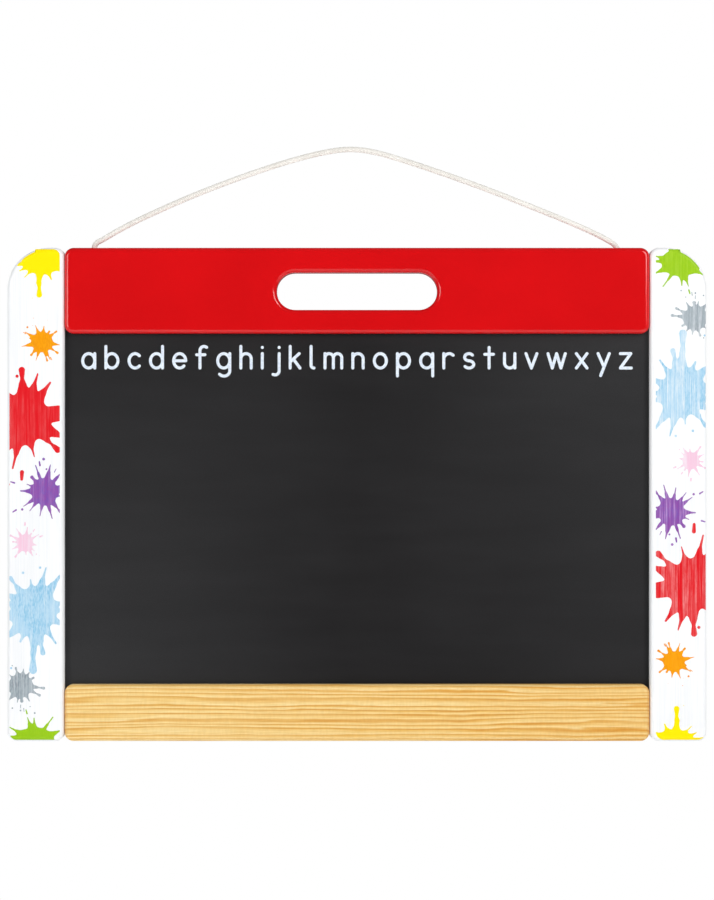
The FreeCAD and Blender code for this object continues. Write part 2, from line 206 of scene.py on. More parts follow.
def pine():
    """Clear-varnished pine: orange late wood along X, wavy and unevenly spaced, fine fibres."""
    ring_pitch = 3.1 * MM
    shader = Shader("pine", 0.42, 0.4)
    parts = shader.add("ShaderNodeSeparateXYZ", {"Vector": shader.place})
    slow = shader.math("MULTIPLY", shader.noise((5.0, 9, 40), 2.0), 9.0 * MM)
    quick = shader.math("MULTIPLY", shader.noise((34, 60, 200), 2.0), 2.0 * MM)
    wander = shader.math("ADD", slow, quick)
    height = shader.math("ADD", shader.math("ADD", parts.outputs["Z"], wander),
                         shader.math("MULTIPLY", parts.outputs["Y"], 0.35))
    uneven = shader.math("MULTIPLY", shader.noise((1.5, 8, 170), 2.0), 2.6)
    ring = shader.math("FRACT", shader.math("ADD", shader.math("DIVIDE", height, ring_pitch), uneven))
    bands = shader.ramp(ring, [(0.0, linear(249, 227, 172)), (0.30, linear(247, 218, 154)),
                               (0.55, linear(238, 196, 112)), (0.78, linear(222, 160, 62)),
                               (0.90, linear(234, 184, 96)), (1.0, linear(249, 227, 172))])
    strength = shader.ramp(shader.noise((7, 9, 150), 2.0), [(0.34, 0.5), (0.62, 1.0)])
    body = shader.mix(strength, linear(245, 212, 143), bands)
    fibre = shader.noise((60, 700, 2400), 3.0, 0.6)
    flecks = shader.ramp(fibre, [(0.3, linear(240, 226, 196)), (0.6, linear(255, 255, 255))])
    ripple = shader.ramp(shader.noise((820, 500, 190), 1.0), [(0.35, linear(240, 234, 224)),
                                                             (0.65, linear(255, 255, 255))])
    warmth = shader.add("ShaderNodeMapRange", {"Value": parts.outputs["X"], "From Min": -0.19,
                                               "From Max": 0.19, "To Min": 0.0, "To Max": 0.75})
    warm = shader.mix(warmth.outputs[0], linear(255, 255, 255), linear(250, 240, 220))
    end = shader.add("ShaderNodeMapRange", {"Value": shader.math("ABSOLUTE", parts.outputs["X"]),
                                            "From Min": TOP_HIGH[0] - 2.2 * MM,
                                            "From Max": TOP_HIGH[0], "To Max": 0.7})
    grained = shader.mix(0.3, shader.mix(0.8, body, flecks, "MULTIPLY"), ripple, "MULTIPLY")
    tinted = shader.mix(1.0, grained, warm, "MULTIPLY")
    shader.colour(shader.mix(end.outputs[0], tinted, linear(196, 128, 58)))
    shader.roughness(0.36, 0.5, ring)
    shader.bump(shader.math("ADD", fibre, shader.math("MULTIPLY", ring, -0.35)), 0.3, 0.00014)
    return shader.material


def chalkboard():
    """Matt dark paint with a light speckle; lighter towards both sides, and towards the lower left and
    the upper right.
    """
    shader = Shader("chalkboard", 0.85, 0.16)
    middle = (PANEL_LOW + PANEL_HIGH) / 2
    reach = (PANEL_HIGH - PANEL_LOW) / 2
    about = shader.add("ShaderNodeMapping", {"Vector": shader.place,
                                             "Location": (0.0, 0.0, -middle.z / reach.z),
                                             "Scale": (1 / reach.x, 0.0, 1 / reach.z)})
    share = shader.add("ShaderNodeSeparateXYZ", {"Vector": about.outputs[0]})
    # the paint is made lighter towards both sides, and towards the lower left and upper right corners
    sides = shader.math("MULTIPLY", shader.math("ABSOLUTE", share.outputs["X"]), 0.45)
    corners = shader.math("MULTIPLY", share.outputs["X"],
                          shader.math("MULTIPLY", share.outputs["Z"], 0.25))
    patches = shader.math("MULTIPLY", shader.noise((6, 6, 8), 3.0), 0.4)
    cloud = shader.math("ADD", shader.math("ADD", sides, corners), patches)
    wipe = shader.noise((10, 30, 60), 3.0, 0.55)
    speckle = shader.noise((1700, 1700, 1700), 1.0)
    base = shader.ramp(cloud, [(0.2, linear(30, 29, 30)), (0.85, linear(51, 51, 52))])
    haze = shader.ramp(wipe, [(0.4, linear(0, 0, 0)), (0.8, linear(22, 22, 23))])
    dusty = shader.mix(0.5, base, haze, "ADD")
    grit = shader.ramp(speckle, [(0.35, linear(226, 226, 226)), (0.7, linear(255, 255, 255))])
    shader.colour(shader.mix(0.8, dusty, grit, "MULTIPLY"))
    shader.roughness(0.74, 0.95, cloud)
    shader.bump(speckle, 0.2, 0.00006)
    return shader.material


def white_steel():
    """Glossy white enamel with a soft ghost of wiped marker."""
    shader = Shader("white_steel", 0.16, 0.5)
    ghost = shader.noise((12, 12, 70), 3.0)
    shader.colour(shader.ramp(ghost, [(0.35, linear(238, 241, 243)), (0.7, linear(247, 249, 250))]))
    shader.roughness(0.12, 0.24, shader.noise((20, 20, 34), 3.0))
    shader.bump(shader.noise((90, 90, 90), 2.0), 0.02, 0.0002)
    return shader.material


def beech():
    """Plain beech for the dowels, with short flecks along the grain."""
    shader = Shader("beech", 0.55)
    fleck = shader.noise((60, 900, 900), 3.0)
    shader.colour(shader.ramp(fleck, [(0.3, linear(196, 152, 108)), (0.7, linear(226, 188, 146))]))
    shader.bump(fleck, 0.2, 0.0001)
    return shader.material


def ink(name, colour, pale, wear, blotch=0.0, second=None):
    """Printed ink that follows the grain: it is thin, and paler, along fine streaks."""
    shader = Shader(name, 0.36, 0.15)
    grain = shader.noise((1900, 1900, 34), 3.0, 0.6)
    wide = shader.noise((750, 750, 14), 2.0, 0.5)
    streaks = shader.math("ADD", shader.math("MULTIPLY", grain, 0.6), shader.math("MULTIPLY", wide, 0.4))
    worn = shader.ramp(streaks, [(0.45, 0.0), (0.58, 1.0)])
    breakup = shader.noise((300, 300, 95), 3.0, 0.65)
    broken = shader.ramp(breakup, [(0.35, 0.25), (0.65, 1.0)])
    body = colour
    if second is not None:
        speckle = shader.noise((1500, 1500, 380), 2.0)
        patches = shader.noise((70, 70, 55), 2.0)
        share = shader.math("MULTIPLY", shader.ramp(patches, [(0.4, 0.25), (0.62, 1.0)]), blotch)
        share = shader.math("MULTIPLY", share, shader.ramp(speckle, [(0.38, 0.0), (0.6, 1.0)]))
        body = shader.mix(share, colour, second)
    thin = shader.math("MULTIPLY", shader.math("MULTIPLY", worn, broken), wear)
    shader.colour(shader.mix(thin, body, pale))
    shader.roughness(0.28, 0.46, breakup)
    shader.bump(grain, 0.2, 0.0001)
    return shader.material


def letter_paint():
    """Bluish white screen print, slightly uneven."""
    shader = Shader("letter_paint", 0.6, 0.3)
    grain = shader.noise((900, 900, 900), 2.0)
    shader.colour(shader.ramp(grain, [(0.3, linear(204, 216, 230)), (0.6, linear(228, 237, 247))]))
    shader.bump(grain, 0.2, 0.00005)
    return shader.material


def cotton():
    """Off-white cotton yarn: fine fibres over the modelled braid."""
    shader = Shader("cotton", 0.9, 0.15)
    fibre = shader.noise((2600, 2600, 2600), 3.0, 0.7)
    tone = shader.ramp(shader.noise((60, 60, 60), 2.0), [(0.3, linear(230, 226, 219)),
                                                        (0.7, linear(241, 238, 232))])
    hair = shader.ramp(fibre, [(0.3, linear(247, 245, 241)), (0.6, linear(255, 255, 255))])
    shader.colour(shader.mix(0.6, tone, hair, "MULTIPLY"))
    shader.surface.inputs["Sheen Weight"].default_value = 0.15
    shader.bump(fibre, 0.06, 0.0001)
    return shader.material


# Every other node is a length of the cord or a knot, or a dowel.
NODE_MATERIALS = {
    "left_rail": white_lacquer, "right_rail": white_lacquer, "top_rail": red_lacquer,
    "bottom_rail": pine, "chalkboard_panel": chalkboard, "whiteboard_sheet": white_steel,
}
made_materials = {}


def shared(maker):
    """Each material is made once."""
    if maker not in made_materials:
        made_materials[maker] = maker()
    return made_materials[maker]


for node_name, node_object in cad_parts.items():
    maker = beech if node_name.startswith("dowel") else NODE_MATERIALS.get(node_name, cotton)
    for material_slot in node_object.material_slots:
        material_slot.material = shared(maker)


# ---------------------------------------------------------------- shapes as distance fields
def round_stroke(points, start, start_radius, end, end_radius):
    """Signed distance to a stroke between two points that changes evenly in width."""
    start = np.array(start)
    along = np.array(end) - start
    span = max(float(along @ along), 1e-12)
    share = np.clip(((points - start) @ along) / span, 0.0, 1.0)
    nearest = start + share[..., None] * along
    reach = np.linalg.norm(points - nearest, axis=-1)
    return reach - (start_radius + share * (end_radius - start_radius))


def smooth_union(first, second, blend):
    """The union of two fields, with a fillet about as wide as the blend where they meet."""
    overlap = np.maximum(blend - np.abs(first - second), 0.0) / blend
    return np.minimum(first, second) - overlap * overlap * blend / 4


def plank_field(points, margins):
    """Signed distance inside a side plank's outline, in mm: u from its outer edge, v down.

    Negative inside. margins are (outer, inner, top, bottom), each moving one edge inwards.
    """
    outer, inner, top, bottom = margins
    low = np.array((outer, top))
    high = np.array((RAIL_WIDTH / MM - inner, RAIL_HEIGHT / MM - bottom))
    middle = (low + high) / 2
    offset = points - middle
    crown = (offset[..., 0] < 0) & (offset[..., 1] < 0)
    radius = np.where(crown, CROWN_RADIUS - outer, CORNER_RADIUS - min(outer, inner))
    gap = np.abs(offset) - (high - low) / 2 + radius[..., None]
    outside = np.linalg.norm(np.maximum(gap, 0.0), axis=-1)
    return outside + np.minimum(np.max(gap, axis=-1), 0.0) - radius


# Which grid edges an outline joins in each kind of cell, with the inside on its left.
# Corners count 1, 2, 4, 8 from the low left one round to the upper left one.
CELL_SEGMENTS = {
    1: ["bl"], 2: ["rb"], 4: ["tr"], 8: ["lt"], 3: ["rl"], 6: ["tb"], 12: ["lr"], 9: ["bt"],
    7: ["tl"], 14: ["lb"], 13: ["br"], 11: ["rt"], 5: ["bl", "tr"], 10: ["rb", "lt"],
}


FLATNESS = 0.012          # mm; a point nearer than this to its neighbours' line is dropped
LONGEST_CHORD = 3.0       # mm; between neighbours further apart than this, a point is kept
THINNING_ROUNDS = 3
FEWEST_POINTS = 5         # a loop with fewer is a speck


def outlines(field, low, step):
    """Closed outlines of the places where a grid of values is negative."""
    inside = field < 0
    code = (inside[:-1, :-1] * 1 + inside[1:, :-1] * 2 + inside[1:, 1:] * 4 + inside[:-1, 1:] * 8)
    onward = {}
    for i, j in zip(*np.nonzero((code > 0) & (code < 15))):
        keys = {"b": (i, j, 0), "t": (i, j + 1, 0), "l": (i, j, 1), "r": (i + 1, j, 1)}
        for segment in CELL_SEGMENTS[int(code[i, j])]:
            onward[keys[segment[0]]] = keys[segment[1]]

    def crossing(key):
        i, j, upright = key
        other = (i, j + 1) if upright else (i + 1, j)
        here, there = field[i, j], field[other]
        share = here / (here - there)
        return (low[0] + step * (i + share * (other[0] - i)),
                low[1] + step * (j + share * (other[1] - j)))

    loops = []
    while onward:
        first, key = next(iter(onward.items()))
        del onward[first]
        loop = [crossing(first)]
        while key != first:
            loop.append(crossing(key))
            key = onward.pop(key)
        loops.append(simpler(loop))
    return [loop for loop in loops if len(loop) >= FEWEST_POINTS]


def simpler(loop):
    """Drops points that lie almost on the line between their neighbours."""
    kept = list(loop)
    for _ in range(THINNING_ROUNDS):
        result = []
        skip = False
        for index, point in enumerate(kept):
            before = kept[index - 1]
            after = kept[(index + 1) % len(kept)]
            chord = (after[0] - before[0], after[1] - before[1])
            length = math.hypot(*chord) or 1e-9
            away = abs(chord[0] * (point[1] - before[1]) - chord[1] * (point[0] - before[0])) / length
            if away < FLATNESS and not skip and length < LONGEST_CHORD:
                skip = True
                continue
            skip = False
            result.append(point)
        kept = result
    return kept


FAR_AWAY = 1e3            # mm; a field's value before anything is drawn


def stroke_field(strokes, blend, low, high, step):
    """The smooth union of strokes, sampled on a grid."""
    across = low[0] + step * np.arange(math.ceil((high[0] - low[0]) / step) + 1)
    up = low[1] + step * np.arange(math.ceil((high[1] - low[1]) / step) + 1)
    points = np.stack(np.meshgrid(across, up, indexing="ij"), axis=-1)
    field = np.full(points.shape[:-1], FAR_AWAY)
    for stroke in strokes:
        field = smooth_union(field, round_stroke(points, *stroke), blend)
    return points, field


# ---------------------------------------------------------------- films
FILM_PROUD = 0.05 * MM    # a film's face above the wood or the panel
FILM_SINK = 0.12 * MM     # its thickness, so its back is hidden in them
CUT_TOUCH = 1e-7          # a point this near a cut lies on it


def new_piece(name, mesh, material, body, smooth=False):
    """A visible piece that rides on a body, or on none if it is blended between two."""
    piece = bpy.data.objects.new(name, mesh)
    mesh.materials.append(material)
    scene.collection.objects.link(piece)
    for polygon in mesh.polygons:
        polygon.use_smooth = smooth
    if body:
        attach(piece, body)
    return piece


def film_mesh(name, loops, height_at, cuts, sink):
    """A thin closed film over flat outlines in X and Z; height_at gives its face's Y."""
    builder = bmesh.new()
    for loop in loops:
        ring = [builder.verts.new((x, 0.0, z)) for x, z in loop]
        for start, end in zip(ring, ring[1:] + ring[:1]):
            builder.edges.new((start, end))
    bmesh.ops.triangle_fill(builder, use_beauty=True, edges=builder.edges[:])
    for place, normal in cuts:
        everything = builder.verts[:] + builder.edges[:] + builder.faces[:]
        bmesh.ops.bisect_plane(builder, geom=everything, plane_co=place, plane_no=normal,
                               dist=CUT_TOUCH)
    for vertex in builder.verts:
        vertex.co.y = height_at(vertex.co.x, vertex.co.z)
    top = bmesh.ops.extrude_face_region(builder, geom=builder.faces[:])
    for item in top["geom"]:
        if isinstance(item, bmesh.types.BMVert):
            item.co.y += sink
    bmesh.ops.recalc_face_normals(builder, faces=builder.faces[:])
    mesh = bpy.data.meshes.new(name)
    builder.to_mesh(mesh)
    builder.free()
    return mesh


# ---------------------------------------------------------------- paint splashes
# Every splash is drawn by the same rule from its own seed: a lumpy body, tapering arms all
# round it, sometimes drips, and loose drops. Sizes are shares of the body's radius.
BODY_LUMPS = 4
LUMP_SWAY = 0.3            # how far a lump strays from its even place round the body
LUMP_AWAY = (0.25, 0.42)   # a pair is the least and the most that is drawn
LUMP_SIZE = (0.66, 0.85)
ARM_SWAY = 0.36
ARM_REACH = (1.35, 2.25)
ARM_ROOT = (0.09, 0.24)
ARM_TIP = (0.02, 0.05)
BULB_SHARE = 0.2           # share of the arms that end in a round bulb
DRIP_ACROSS = (-0.55, 0.35)
DRIP_FALL = (1.9, 3.0)
DRIP_BULB = (0.16, 0.3)
DROP_REACH = (1.7, 2.9)
DROP_SIZE = (0.025, 0.11)
DROP_FLICKS = (0.0, 0.0, 0.3)   # one drop in three is drawn out this far

# middle is across from the plank's outer edge and down from its top, and radius the body's,
# in mm; wide is width against height; pale is the ink where it is thin; streaks is how
# strongly the grain shows on the left and on the right plank.
Splash = namedtuple("Splash", "name seed middle radius wide arms drips drops paint pale streaks")


def draw_splash(splash):
    """A splash's strokes in mm about its middle, Y up: joined ones, and loose ones."""
    draw = random.Random(splash.seed)
    radius, wide = splash.radius, splash.wide
    joined = [((-radius * (wide - 1), 0.0), radius, (radius * (wide - 1), 0.0), radius * 0.95)]
    for lump in range(BODY_LUMPS):
        turn = 2 * math.pi * (lump + draw.uniform(-LUMP_SWAY, LUMP_SWAY)) / BODY_LUMPS
        away = radius * draw.uniform(*LUMP_AWAY)
        place = (away * wide * math.cos(turn), away * math.sin(turn))
        joined.append((place, radius * draw.uniform(*LUMP_SIZE), place, radius * 0.6))
    for arm in range(splash.arms):
        turn = 2 * math.pi * (arm + draw.uniform(-ARM_SWAY, ARM_SWAY)) / splash.arms
        way = np.array((wide * math.cos(turn), math.sin(turn)))
        reach = radius * draw.uniform(*ARM_REACH)
        root = radius * draw.uniform(*ARM_ROOT)
        tip = radius * draw.uniform(*ARM_TIP)
        joined.append((way * radius * 0.6, root * 1.9, way * reach * 0.68, root * 0.5))
        joined.append((way * reach * 0.6, root * 0.6, way * reach, tip))
        if draw.random() < BULB_SHARE:
            joined.append((way * reach * 0.94, tip * 1.6, way * reach, tip * 2.8))
    for _ in range(splash.drips):
        across = radius * wide * draw.uniform(*DRIP_ACROSS)
        fall = radius * draw.uniform(*DRIP_FALL)
        bulb = radius * draw.uniform(*DRIP_BULB)
        joined.append(((across, -radius * 0.5), bulb * 1.5, (across, -fall * 0.72), bulb * 0.35))
        joined.append(((across, -fall * 0.7), bulb * 0.35, (across, -fall), bulb))
    loose = []
    for _ in range(splash.drops):
        turn = draw.uniform(0, 2 * math.pi)
        way = np.array((math.cos(turn), math.sin(turn)))
        reach = radius * draw.uniform(*DROP_REACH)
        size = radius * draw.uniform(*DROP_SIZE)
        flick = reach + radius * draw.choice(DROP_FLICKS)
        loose.append((way * reach, size, way * flick, size * 0.7))
    return joined, loose


WHITE_SHOWING = linear(240, 243, 245)
PALE_PINK = linear(246, 178, 178)
SPLASHES = [
    Splash("yellow", 8, (23.0, 7.5), 9.0, 1.45, 15, 1, 4,
           linear(255, 232, 0), linear(255, 240, 60), (0.0, 0.0)),
    Splash("orange", 11, (22.4, 61.0), 6.0, 1.0, 13, 0, 8,
           linear(246, 160, 4), linear(250, 180, 60), (0.1, 0.15)),
    Splash("red", 22, (11.0, 110.0), 15.2, 1.0, 15, 0, 9,
           linear(222, 22, 32), PALE_PINK, (0.14, 0.5)),
    Splash("purple", 31, (24.2, 157.0), 8.0, 1.0, 14, 0, 10,
           linear(138, 74, 160), linear(196, 160, 214), (0.35, 0.8)),
    Splash("pink", 42, (11.6, 190.0), 4.9, 1.0, 12, 0, 8,
           linear(238, 196, 217), WHITE_SHOWING, (0.5, 0.7)),
    Splash("blue", 52, (17.5, 234.0), 13.6, 1.0, 15, 1, 6,
           linear(176, 212, 234), WHITE_SHOWING, (0.4, 0.85)),
    Splash("grey", 64, (9.0, 281.5), 6.9, 1.0, 13, 0, 9,
           linear(158, 170, 177), linear(224, 228, 232), (0.5, 0.85)),
    Splash("green", 74, (18.0, 317.5), 8.0, 1.6, 13, 0, 6,
           linear(146, 196, 24), linear(190, 220, 80), (0.1, 0.35)),
]
# A second tone that is mixed in as patches, and how much of it.
SECOND_INKS = {
    "orange": (linear(226, 128, 4), 0.6),
    "purple": (linear(104, 86, 176), 0.75),
    "blue": (linear(120, 186, 220), 0.85),
    "grey": (linear(104, 113, 121), 0.8),
    "green": (linear(166, 206, 10), 0.5),
}
LEFT_MARGINS = (1.5, 2.7, 1.0, 1.0)    # outer, inner, top and bottom edge of the print, mm
RIGHT_MARGINS = (0.6, 3.7, 1.0, 1.0)
RIGHT_SHIFT = -1.2                      # the right plank's print is nearer its outer edge
STRIP_LENGTH = 327.0                    # the right plank's print is the strip upside down
FILM_STEP = 0.16
INK_GAP = 0.25                          # left bare between two colours, mm
ARM_BLEND = 0.22                        # how softly an arm grows out, as a share of the radius
SPLASH_REACH = 3.4                      # no arm, drip or drop goes further, as a share of the radius
ROUNDOVER_CUTS = 6                      # cuts over the width of a rounded edge
CROWN_CUTS = 44                         # and each way over the plank's big round corner


def splash_loops(splash, turned, taken):
    """Outlines of a splash on a side plank, in that plank's u and v.

    taken is the field of the colours already on that plank: a new one stops short of them.
    """
    joined, loose = draw_splash(splash)
    flip = -1.0 if turned else 1.0
    u, v = splash.middle
    if turned:
        u, v = u + RIGHT_SHIFT, STRIP_LENGTH - v

    def moved(stroke):
        start, first, end, last = stroke
        return ((u + start[0], v - flip * start[1]), first, (u + end[0], v - flip * end[1]), last)

    reach = SPLASH_REACH * splash.radius
    first_row = max(int((v - reach) / FILM_STEP), 0)
    low = (0.0, first_row * FILM_STEP)
    high = (RAIL_WIDTH / MM, min(v + reach, RAIL_HEIGHT / MM))
    blend = ARM_BLEND * splash.radius
    points, field = stroke_field([moved(s) for s in joined], blend, low, high, FILM_STEP)
    for stroke in loose:
        field = np.minimum(field, round_stroke(points, *moved(stroke)))
    field = np.maximum(field, plank_field(points, RIGHT_MARGINS if turned else LEFT_MARGINS))
    window = taken[:field.shape[0], first_row:first_row + field.shape[1]]
    field = np.maximum(field, INK_GAP - window)
    np.minimum(window, field, out=window)
    return outlines(field, low, FILM_STEP)


def roundover_drop(u, v):
    """How far a plank's face has curved back at a place, in metres."""
    inward = -float(plank_field(np.array((u, v)), (0.0, 0.0, 0.0, 0.0)))
    if inward >= ROUNDOVER:
        return 0.0
    across = ROUNDOVER - max(inward, 0.0)
    return (ROUNDOVER - math.sqrt(max(ROUNDOVER ** 2 - across ** 2, 0.0))) * MM


def plank_cuts(outer_x, inward):
    """Planes that cut a film finely where the plank's edges are rounded over."""
    cuts = []
    for index in range(1, ROUNDOVER_CUTS + 1):
        depth = index * ROUNDOVER / ROUNDOVER_CUTS * MM
        cuts.append(((outer_x + inward * depth, 0, 0), (1, 0, 0)))
        cuts.append(((0, 0, TOP - depth), (0, 0, 1)))
        cuts.append(((0, 0, TOP - RAIL_HEIGHT + depth), (0, 0, 1)))
    for index in range(1, CROWN_CUTS):
        depth = index * CROWN_RADIUS / CROWN_CUTS * MM
        cuts.append(((outer_x + inward * depth, 0, 0), (1, 0, 0)))
        cuts.append(((0, 0, TOP - depth), (0, 0, 1)))
    return cuts


def add_splash(name, loops, side, back, material):
    """Lay one colour's film on the front or back of a side plank: side is -1 for the left."""
    outer_x = side * BOARD_HALF
    inward = -side
    facing = 1.0 if back else -1.0
    face = BACK if back else FRONT
    moved = [[(outer_x + inward * u * MM, TOP - v * MM) for u, v in loop] for loop in loops]

    def height_at(x, z):
        drop = roundover_drop((x - outer_x) * inward / MM, (TOP - z) / MM)
        return face + facing * (FILM_PROUD - drop)

    mesh = film_mesh(name, moved, height_at, plank_cuts(outer_x, inward), -facing * FILM_SINK)
    return new_piece(name, mesh, material, "board")


PLANK_GRID = (int(RAIL_WIDTH / MM / FILM_STEP) + 3, int(RAIL_HEIGHT / MM / FILM_STEP) + 3)
taken_on = {turned: np.full(PLANK_GRID, FAR_AWAY) for turned in (False, True)}
for splash in SPLASHES:
    second, blotch = SECOND_INKS.get(splash.name, (None, 0.0))
    for turned, wear in zip((False, True), splash.streaks):
        loops = splash_loops(splash, turned, taken_on[turned])
        plank = "right" if turned else "left"
        paint = ink(f"ink_{splash.name}_{plank}", splash.paint, splash.pale, wear, blotch, second)
        side = 1 if turned else -1
        add_splash(f"splash_{splash.name}_{plank}_front", loops, side, False, paint)
        add_splash(f"splash_{splash.name}_{plank}_back", loops, -side, True, paint)

# ---------------------------------------------------------------- letters
# A plain school alphabet of straight lines and round arcs, in heights of a small letter from
# the letter's left and the base line. A line has points, two numbers each; an arc has its
# middle, its two radii, and the angles in degrees that it runs between.
BOWL = ("arc", 0.42, 0.5, 0.42, 0.5, 0, 360)
ARCH = ("arc", 0.36, 0.64, 0.36, 0.36, 0, 180)
LETTERS = {
    "a": [BOWL, ("line", 0.84, 1, 0.84, 0)],
    "b": [("line", 0, 1.5, 0, 0), BOWL],
    "c": [("arc", 0.42, 0.5, 0.42, 0.5, 45, 315)],
    "d": [BOWL, ("line", 0.84, 1.5, 0.84, 0)],
    "e": [("arc", 0.42, 0.5, 0.42, 0.5, 0, 315), ("line", 0, 0.5, 0.84, 0.5)],
    "f": [("arc", 0.5, 1.22, 0.28, 0.28, 50, 180), ("line", 0.22, 1.22, 0.22, 0),
          ("line", 0, 0.92, 0.56, 0.92)],
    "g": [BOWL, ("line", 0.84, 1, 0.84, -0.2), ("arc", 0.44, -0.2, 0.4, 0.36, 0, -140)],
    "h": [("line", 0, 1.5, 0, 0), ARCH, ("line", 0.72, 0.64, 0.72, 0)],
    "i": [("line", 0, 1, 0, 0), ("line", 0, 1.42, 0, 1.43)],
    "j": [("line", 0.4, 1, 0.4, -0.2), ("arc", 0.12, -0.2, 0.28, 0.28, 0, -120),
          ("line", 0.4, 1.42, 0.4, 1.43)],
    "k": [("line", 0, 1.5, 0, 0), ("line", 0.62, 1, 0, 0.42), ("line", 0.22, 0.62, 0.68, 0)],
    "l": [("line", 0, 1.5, 0, 0.2), ("arc", 0.2, 0.2, 0.2, 0.2, 180, 270)],
    "m": [("line", 0, 1, 0, 0), ("arc", 0.29, 0.71, 0.29, 0.29, 0, 180), ("line", 0.58, 0.71, 0.58, 0),
          ("arc", 0.87, 0.71, 0.29, 0.29, 0, 180), ("line", 1.16, 0.71, 1.16, 0)],
    "n": [("line", 0, 1, 0, 0), ARCH, ("line", 0.72, 0.64, 0.72, 0)],
    "o": [BOWL],
    "p": [("line", 0, 1, 0, -0.55), BOWL],
    "q": [BOWL, ("line", 0.84, 1, 0.84, -0.55)],
    "r": [("line", 0, 1, 0, 0), ("arc", 0.38, 0.62, 0.38, 0.38, 45, 180)],
    "s": [("arc", 0.33, 0.75, 0.3, 0.25, 35, 270), ("arc", 0.33, 0.25, 0.33, 0.25, 90, -145)],
    "t": [("line", 0.3, 1.42, 0.3, 0), ("line", 0, 0.95, 0.6, 0.95)],
    "u": [("line", 0, 1, 0, 0.36), ("arc", 0.36, 0.36, 0.36, 0.36, 180, 360), ("line", 0.72, 1, 0.72, 0)],
    "v": [("line", 0, 1, 0.38, 0, 0.76, 1)],
    "w": [("line", 0, 1, 0.3, 0, 0.6, 1, 0.9, 0, 1.2, 1)],
    "x": [("line", 0, 1, 0.74, 0), ("line", 0.74, 1, 0, 0)],
    "y": [("line", 0, 1, 0.4, 0.1), ("line", 0.78, 1, 0.18, -0.52)],
    "z": [("line", 0, 1, 0.72, 1, 0, 0, 0.76, 0)],
}
SMALL_HEIGHT = 9.3         # mm, a small letter between its strokes' middle lines
STROKE_RADIUS = 0.96
BASE_DROP = 77.3           # the base line below the board's top edge, mm
ROW_HALF = 177.0           # half of the row's length, mm
LETTER_STEP = 0.11
LETTER_BLEND = 0.05
LETTER_ROOM = 2.0          # mm of grid each side of a letter
LOWEST_INK = -8.5          # mm from the base line
HIGHEST_INK = 16.0
ARC_STEP = 15              # degrees between points on an arc


def stroke_path(stroke):
    """A letter's stroke as points."""
    kind, *numbers = stroke
    if kind == "line":
        return list(zip(numbers[::2], numbers[1::2]))
    across, up, half_width, half_height, first, last = numbers
    count = max(abs(last - first) // ARC_STEP, 2)
    turns = [math.radians(first + (last - first) * step / count) for step in range(count + 1)]
    return [(across + half_width * math.cos(t), up + half_height * math.sin(t)) for t in turns]


def add_letters():
    """All the letters as one film on the chalkboard's front face, evenly spaced in a row."""
    drawn = [[stroke_path(stroke) for stroke in letter] for letter in LETTERS.values()]
    widths = [max(x for path in letter for x, _ in path) * SMALL_HEIGHT for letter in drawn]
    gap = (2 * ROW_HALF - sum(widths)) / (len(drawn) - 1)
    loops = []
    left = -ROW_HALF
    for letter, width in zip(drawn, widths):
        pieces = []
        for path in letter:
            placed = [(left + x * SMALL_HEIGHT, y * SMALL_HEIGHT) for x, y in path]
            for start, end in zip(placed, placed[1:]):
                pieces.append((start, STROKE_RADIUS, end, STROKE_RADIUS))
        low = (left - LETTER_ROOM, LOWEST_INK)
        high = (left + width + LETTER_ROOM, HIGHEST_INK)
        _, field = stroke_field(pieces, LETTER_BLEND, low, high, LETTER_STEP)
        loops += outlines(field, low, LETTER_STEP)
        left += width + gap
    base = TOP - BASE_DROP * MM
    placed = [[(x * MM, base + y * MM) for x, y in loop] for loop in loops]
    face = PANEL_LOW[1] - FILM_PROUD
    mesh = film_mesh("letters", placed, lambda x, z: face, [], FILM_SINK)
    return new_piece("letters", mesh, letter_paint(), "board")


add_letters()

# ---------------------------------------------------------------- cord
# The route in mm: X from the board's middle and Z above its top edge. It runs from the left
# knot up its hole, over the hook, and down the right hole to the other knot.
CORD_ROUTE = [
    (-168.8, -19.0), (-168.9, -13.0), (-169.5, -5.0), (-169.8, 3.0), (-163.6, 5.9),
    (-155.0, 11.2), (-136.0, 21.0), (-97.0, 38.0), (-50.0, 54.8), (-16.0, 63.6), (5.0, 64.2),
    (34.0, 55.8), (79.0, 40.2), (124.0, 22.4), (147.0, 12.8), (159.8, 6.6), (168.0, 1.6),
    (168.8, -5.0), (168.8, -13.0), (168.8, -19.0),
]
CORD_DIAMETER = 3.5 * MM
CORD_AROUND = 28
CORD_PITCH = 0.3 * MM        # along the cord between two rings of its mesh
BRAID_STRANDS = 8            # each way round
BRAID_LAY = 11.0 * MM        # one turn of a strand
BRAID_RELIEF = 0.06 * MM


def smooth_path(name, places, step):
    """Evenly spaced points along a NURBS curve with these control points."""
    curve = bpy.data.curves.new(name, "CURVE")
    curve.dimensions = "3D"
    spline = curve.splines.new("NURBS")
    spline.points.add(len(places) - 1)
    for point, place in zip(spline.points, places):
        point.co = (*place, 1.0)
    spline.order_u = 3
    spline.use_endpoint_u = True
    spline.resolution_u = 64
    holder = bpy.data.objects.new(name, curve)
    mesh = bpy.data.meshes.new_from_object(holder)
    dense = np.array([vertex.co[:] for vertex in mesh.vertices])
    bpy.data.objects.remove(holder)
    bpy.data.curves.remove(curve)
    bpy.data.meshes.remove(mesh)
    gaps = np.linalg.norm(np.diff(dense, axis=0), axis=1)
    travelled = np.concatenate(([0.0], np.cumsum(gaps)))
    count = max(int(travelled[-1] / step), 8)
    wanted = np.linspace(0.0, travelled[-1], count)
    return np.stack([np.interp(wanted, travelled, dense[:, axis]) for axis in range(3)], axis=1)


